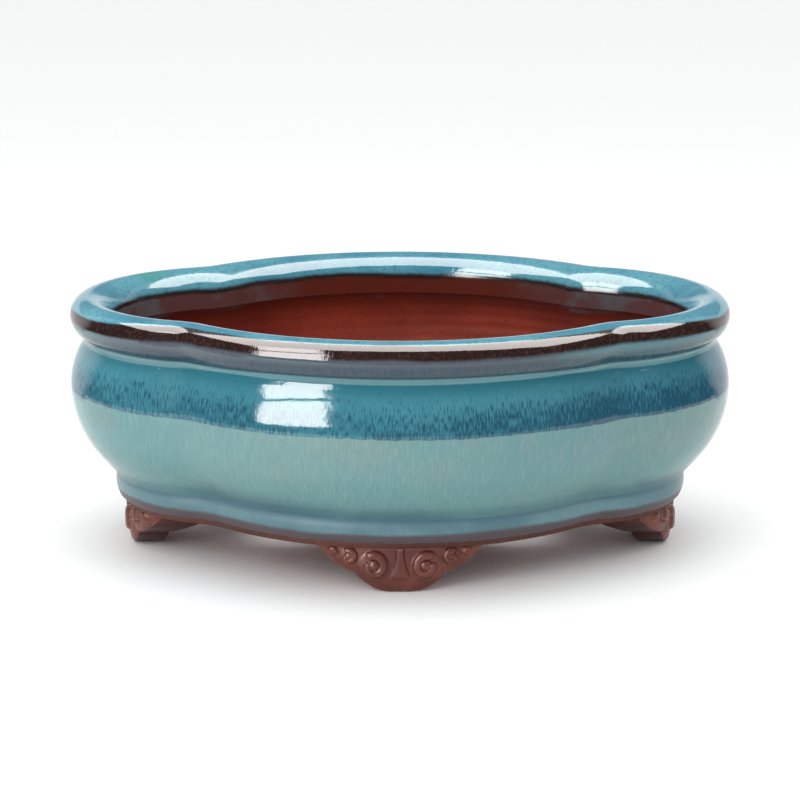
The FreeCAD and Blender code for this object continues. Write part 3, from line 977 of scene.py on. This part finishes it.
def make_belly_finish():
    """Two zones by height, both streaked downwards, with painted shade darkening the right side."""
    finish, tree, shader = new_finish("belly_glaze", GLOSS)
    place = parts_of(tree, object_place(tree))
    x, height = place[0], place[2]
    clouds = clouded(tree, patches=14.0, shift=0.2)
    warm = clouded(tree, patches=17.0, shift=3.3, low=0.48, high=0.64)
    mauve = clouded(tree, patches=32.0, shift=5.1, low=0.52, high=0.7)
    fine = streaked(tree, streaks=1700.0, stretch=0.12, low=0.35, high=0.7)
    pale_runs = streaked(tree, streaks=1400.0, stretch=0.10, low=0.45, high=0.72)
    dark_runs = streaked(tree, streaks=1700.0, stretch=0.22, low=0.60, high=0.74)
    patchy = clouded(tree, patches=40.0, shift=7.7, low=0.35, high=0.6)
    # Painted shade: this mask darkens the right side of the belly, where less light falls, and crowds more
    # dark flecks there.
    thicker = ramp(tree, x, -0.03, 0.10)
    cooler = ramp(tree, x, -0.03, -0.10)
    crowd = ramp(tree, height, BELLY_Z + FUR_DEPTH, BELLY_Z + 0.004)
    share = scaled(tree, thicker, 0.35, scaled(tree, patchy, 0.28, 0.74))
    dense = times(tree, crowd, share)
    fleck_low = scaled(tree, dense, -0.25, 0.62)
    fleck_high = maths(tree, "ADD", fleck_low, 0.24)
    flecks = streaked(tree, streaks=1900.0, stretch=0.16, low=fleck_low, high=fleck_high, wriggle=0.0)
    hidden = ramp(tree, height, neck_z + 0.001, neck_z - 0.008)
    light_share = scaled(tree, clouds, 0.4, 0.6)
    deep = layered(tree, DEEP_TEAL, (hidden, light_share, DEEP_TEAL_LIGHT), (fine, 0.25, DEEP_TEAL),
                   (dense, 0.60, FUR_BASE), (flecks, 0.80, FLECK_BLUE), (thicker, 0.30, FLECK_BLUE))
    just_below = ramp(tree, height, BELLY_Z - 0.020, BELLY_Z - 0.004)
    mauve_there = times(tree, mauve, just_below)
    pale = blend(tree, clouds, CELADON, CELADON_COOL)
    pale = layered(tree, pale, (warm, 0.6, CELADON_WARM), (cooler, 0.8, CELADON_COOL),
                   (thicker, 0.5, CELADON_SHADY), (mauve_there, 0.6, CELADON_MAUVE))
    pale = blend(tree, ramp(tree, height, BELLY_Z - 0.012, waist_z + 0.010), pale, CELADON_LOW)
    pale = layered(tree, pale, (fine, 0.24, STREAK_TEAL), (dark_runs, 0.50, STREAK_TEAL),
                   (pale_runs, 0.26, STREAK_PALE))
    foot_zone = maths(tree, "ADD", height, times(tree, clouds, 0.004))
    pale = blend(tree, ramp(tree, foot_zone, waist_z + 0.011, waist_z), pale, WAIST_BLUE)
    above = beyond(tree, height, BELLY_Z - 0.0005, wander=0.0045, blur=0.0004, waves=12.0, ragged=0.0014)
    raised = times(tree, ramp(tree, maths(tree, "ABSOLUTE", x), 0.090, 0.040), LINE_RISE)
    lowered = maths(tree, "SUBTRACT", height, raised)
    shoulder = beyond(tree, lowered, neck_z - 0.0016, wander=0.0010, blur=0.0008, waves=20.0, ragged=0.0005)
    colour = blend(tree, above, pale, deep)
    colour = blend(tree, shoulder, colour, SHOULDER_PALE)
    plug(tree, colour, shader.inputs["Base Color"])
    skin = use(tree, glaze_skin, Ripples_per_metre=150.0)
    duller = ramp(tree, height, waist_z + 0.012, waist_z + 0.003)
    base = scaled(tree, duller, DULL - GLOSS, GLOSS)
    plug(tree, scaled(tree, skin["Pinhole"], PIT_DULL, base), shader.inputs["Roughness"])
    press(tree, shader, scaled(tree, fine, 0.05, skin["Height"]), depth=0.00008)
    return finish


belly = glaze_coat("belly_coat", neck_length, waist_length)
belly.data.materials.append(make_belly_finish())
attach(belly, "root")
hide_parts("belly_glaze")

# ----------------------------------------
# Band glaze: the same glaze where it gathers on the base band. It is blue-grey, thins to mauve at its
# rolled lower edge and stops short of the bare clay in a slightly wavy line.
# ----------------------------------------
BAND_BLUE = (0.105, 0.215, 0.245)
BAND_BLUE_DEEP = (0.060, 0.145, 0.180)
BAND_MAUVE = (0.058, 0.043, 0.052)
MAUVE_DULL = 0.40


def make_band_finish():
    """Blue-grey, deeper at the waist and mauve where it thins."""
    finish, tree, shader = new_finish("band_glaze", DULL)
    height = parts_of(tree, object_place(tree))[2]
    clouds = clouded(tree, patches=30.0, shift=4.2)
    fine = streaked(tree, streaks=1300.0, stretch=0.3, low=0.35, high=0.7)
    blue = blend(tree, clouds, BAND_BLUE, BAND_BLUE_DEEP)
    blue = layered(tree, blue, (fine, 0.4, BAND_BLUE_DEEP))
    blue = blend(tree, ramp(tree, height, waist_z - 0.0025, waist_z), blue, WAIST_BLUE)
    thick = beyond(tree, height, foot_top + 0.0062, wander=0.0024, blur=0.0018, waves=24.0, ragged=0.0010)
    colour = blend(tree, thick, BAND_MAUVE, blue)
    plug(tree, colour, shader.inputs["Base Color"])
    skin = use(tree, glaze_skin, Ripples_per_metre=170.0)
    rough = scaled(tree, thick, DULL - MAUVE_DULL, MAUVE_DULL)
    plug(tree, rough, shader.inputs["Roughness"])
    press(tree, shader, scaled(tree, fine, 0.12, skin["Height"]), depth=0.00006)
    return finish


band = glaze_coat("band_coat", waist_length, edge_length)
band.data.materials.append(make_band_finish())
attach(band, "root")
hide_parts("band_glaze")

# ----------------------------------------
# Studio: a pale table in an even white room, with soft light from above and from the front left. The
# softboxes, dark cloths and side cards are seen by the gloss of the glaze alone.
# ----------------------------------------
world = bpy.data.worlds.new("white_room")
world.use_nodes = True
world.node_tree.nodes["Background"].inputs["Color"].default_value = (0.99, 1.0, 1.0, 1)
world.node_tree.nodes["Background"].inputs["Strength"].default_value = 1.0
bpy.context.scene.world = world
bpy.context.scene.view_settings.view_transform = "Standard"


def sheet_of(name, grid):
    """A stage sheet from a grid of points."""
    count, rows = grid.shape[:2]
    here = np.arange(count * rows).reshape(count, rows)
    mesh = bpy.data.meshes.new(name)
    mesh.from_pydata(grid.reshape(-1, 3).tolist(), [], grid_faces(here).tolist())
    piece = bpy.data.objects.new(name, mesh)
    bpy.context.scene.collection.objects.link(piece)
    return piece


def glowing(name, colour, strength, dark=None, full=None):
    """An even glow, or one that grows from a dark to a full turn in degrees round from the front."""
    finish = bpy.data.materials.new(name)
    finish.use_nodes = True
    tree = finish.node_tree
    tree.nodes.clear()
    glow = tree.nodes.new("ShaderNodeEmission")
    glow.inputs[0].default_value = (*colour, 1.0)
    glow.inputs[1].default_value = strength
    if dark:
        place = parts_of(tree, object_place(tree))
        ahead = times(tree, place[1], -1.0)
        turn = maths(tree, "ARCTAN2", maths(tree, "ABSOLUTE", place[0]), ahead)
        grown = ramp(tree, turn, math.radians(dark), math.radians(full))
        plug(tree, times(tree, grown, strength), glow.inputs[1])
    tree.links.new(glow.outputs[0], tree.nodes.new("ShaderNodeOutputMaterial").inputs[0])
    return finish


def only_in_gloss(piece):
    """Seen in reflections alone, so it neither lights nor shades the pot."""
    piece.visible_camera = False
    piece.visible_diffuse = False
    piece.visible_shadow = False
    piece.visible_transmission = False


FLOOR_REACH = 6.0
TABLE_GREY = (0.88, 0.88, 0.88)
TABLE_PALE = (0.91, 0.91, 0.91)
floor_line = np.linspace(-FLOOR_REACH, FLOOR_REACH, 13)
flat = np.stack(np.meshgrid(floor_line, floor_line, [0.0], indexing="ij"), -1)[:, :, 0]
table = sheet_of("pale_table", flat)
table_finish, table_tree, table_shader = new_finish("pale_table", 0.7)
paper = grain(table_tree, object_place(table_tree), 300.0, 3.0)
table_colour = blend(table_tree, paper, TABLE_GREY, TABLE_PALE)
plug(table_tree, table_colour, table_shader.inputs["Base Color"])
press(table_tree, table_shader, paper, depth=0.00005)
table.data.materials.append(table_finish)

CLOTH_REACH = 1.7
CLOTH_START = 0.42
CLOTH_LIFT = 0.003
CARD_START = 0.32


def hung_sheet(name, glow, middle, spread, lowest, highest, start=None):
    """A curved sheet round one side of the pot between two rises, and in over the table to its start."""
    turns = np.radians(np.linspace(middle - spread, middle + spread, 41))
    rises = np.radians(np.linspace(lowest, highest, 12))
    reach = CLOTH_REACH * np.cos(rises)
    height = CLOTH_REACH * np.sin(rises) + CLOTH_LIFT
    if start:
        reach = np.concatenate([[start], reach])
        height = np.concatenate([[CLOTH_LIFT], height])
    grid = np.empty((len(turns), len(reach), 3))
    grid[..., 0] = np.sin(turns)[:, None] * reach
    grid[..., 1] = -np.cos(turns)[:, None] * reach
    grid[..., 2] = height
    sheet = sheet_of(name, grid)
    sheet.data.materials.append(glow)
    only_in_gloss(sheet)


CLOTH_BLUE = (0.8, 0.9, 1.0)
CARD_WHITE = (1.0, 1.0, 1.0)
front_glow = glowing("front_cloth", CLOTH_BLUE, strength=0.06)
back_glow = glowing("back_cloth", CLOTH_BLUE, strength=0.30)
card_glow = glowing("card", CARD_WHITE, strength=1.1, dark=104, full=124)
hung_sheet("front_cloth", front_glow, middle=0, spread=112, lowest=0, highest=75, start=CLOTH_START)
hung_sheet("back_cloth", back_glow, middle=180, spread=50, lowest=16, highest=60)
for side, label in ((-131, "left"), (131, "right")):
    hung_sheet(label + "_card", card_glow, middle=side, spread=19, lowest=0, highest=30, start=CARD_START)


def softbox(name, corners, colour, strength):
    """A glowing four-cornered sheet."""
    box = sheet_of(name, np.array(corners).reshape(2, 2, 3))
    box.data.materials.append(glowing(name, colour, strength))
    only_in_gloss(box)


SHOULDER_PLACE = np.array([-0.045, -0.085, 0.068])
SIDE_REACH = 0.9


def seen_from_shoulder(left, up):
    """The point at given degrees left of the front and above the level, from the front left shoulder."""
    left, up = math.radians(left), math.radians(up)
    way = np.array([-math.sin(left) * math.cos(up), -math.cos(left) * math.cos(up), math.sin(up)])
    return SHOULDER_PLACE + SIDE_REACH * way


OVERHEAD_X = (-1.15, 1.5)
OVERHEAD_Y = (-0.54, 0.36)
OVERHEAD_Z = 1.05
BOX_WHITE = (1.0, 0.97, 0.95)
BOX_WARM = (1.0, 0.94, 0.91)
softbox("overhead_softbox", [(x, y, OVERHEAD_Z) for x in OVERHEAD_X for y in OVERHEAD_Y], BOX_WARM, 12.0)
lower_ways = ((56.3, -3.5), (57.8, 23), (26.2, -1), (28.6, 35))
upper_ways = ((58.2, 26.5), (69.9, 44.5), (30.1, 38.5), (42.9, 59))
softbox("lower_pane", [seen_from_shoulder(*way) for way in lower_ways], BOX_WHITE, 18.0)
softbox("upper_pane", [seen_from_shoulder(*way) for way in upper_ways], BOX_WHITE, 18.0)

FLAG_LOW = 0.062
FLAG_HIGH = 0.155
flag_ends = ((-0.111, -0.106), (-0.165, -0.082))
flag = sheet_of("end_flag", np.array([[(x, y, z) for z in (FLAG_LOW, FLAG_HIGH)] for x, y in flag_ends]))
flag.data.materials.append(glowing("end_flag", CLOTH_BLUE, strength=0.06))
only_in_gloss(flag)


POT_MIDDLE = Vector((0, 0, 0.05))


def area_light(name, place, size, watts):
    """A soft light that faces the pot and that the gloss doesn't see."""
    data = bpy.data.lights.new(name, "AREA")
    data.shape = "RECTANGLE"
    data.size, data.size_y = size
    data.energy = watts
    light = bpy.data.objects.new(name, data)
    light.location = place
    light.rotation_euler = (POT_MIDDLE - Vector(place)).to_track_quat("-Z", "Y").to_euler()
    light.visible_glossy = False
    bpy.context.scene.collection.objects.link(light)


area_light("top_light", (0.0, -0.1, 1.4), size=(1.4, 1.0), watts=5.0)
area_light("front_left_light", (-0.9, -1.2, 0.9), size=(0.8, 0.8), watts=6.0)

CAMERA_DISTANCE = 1.1
CAMERA_RISE = math.radians(11.55)
CAMERA_DIP = math.radians(13.40)
camera_data = bpy.data.cameras.new("camera")
camera_data.sensor_width = 36.0
camera_data.lens = 125.5
camera = bpy.data.objects.new("camera", camera_data)
roll_z = top_z - RIM_ROLL_R
camera_y = -CAMERA_DISTANCE * math.cos(CAMERA_RISE)
camera.location = (0, camera_y, roll_z + CAMERA_DISTANCE * math.sin(CAMERA_RISE))
camera.rotation_euler = (math.pi / 2 - CAMERA_DIP, 0, 0)
bpy.context.scene.collection.objects.link(camera)
bpy.context.scene.camera = camera
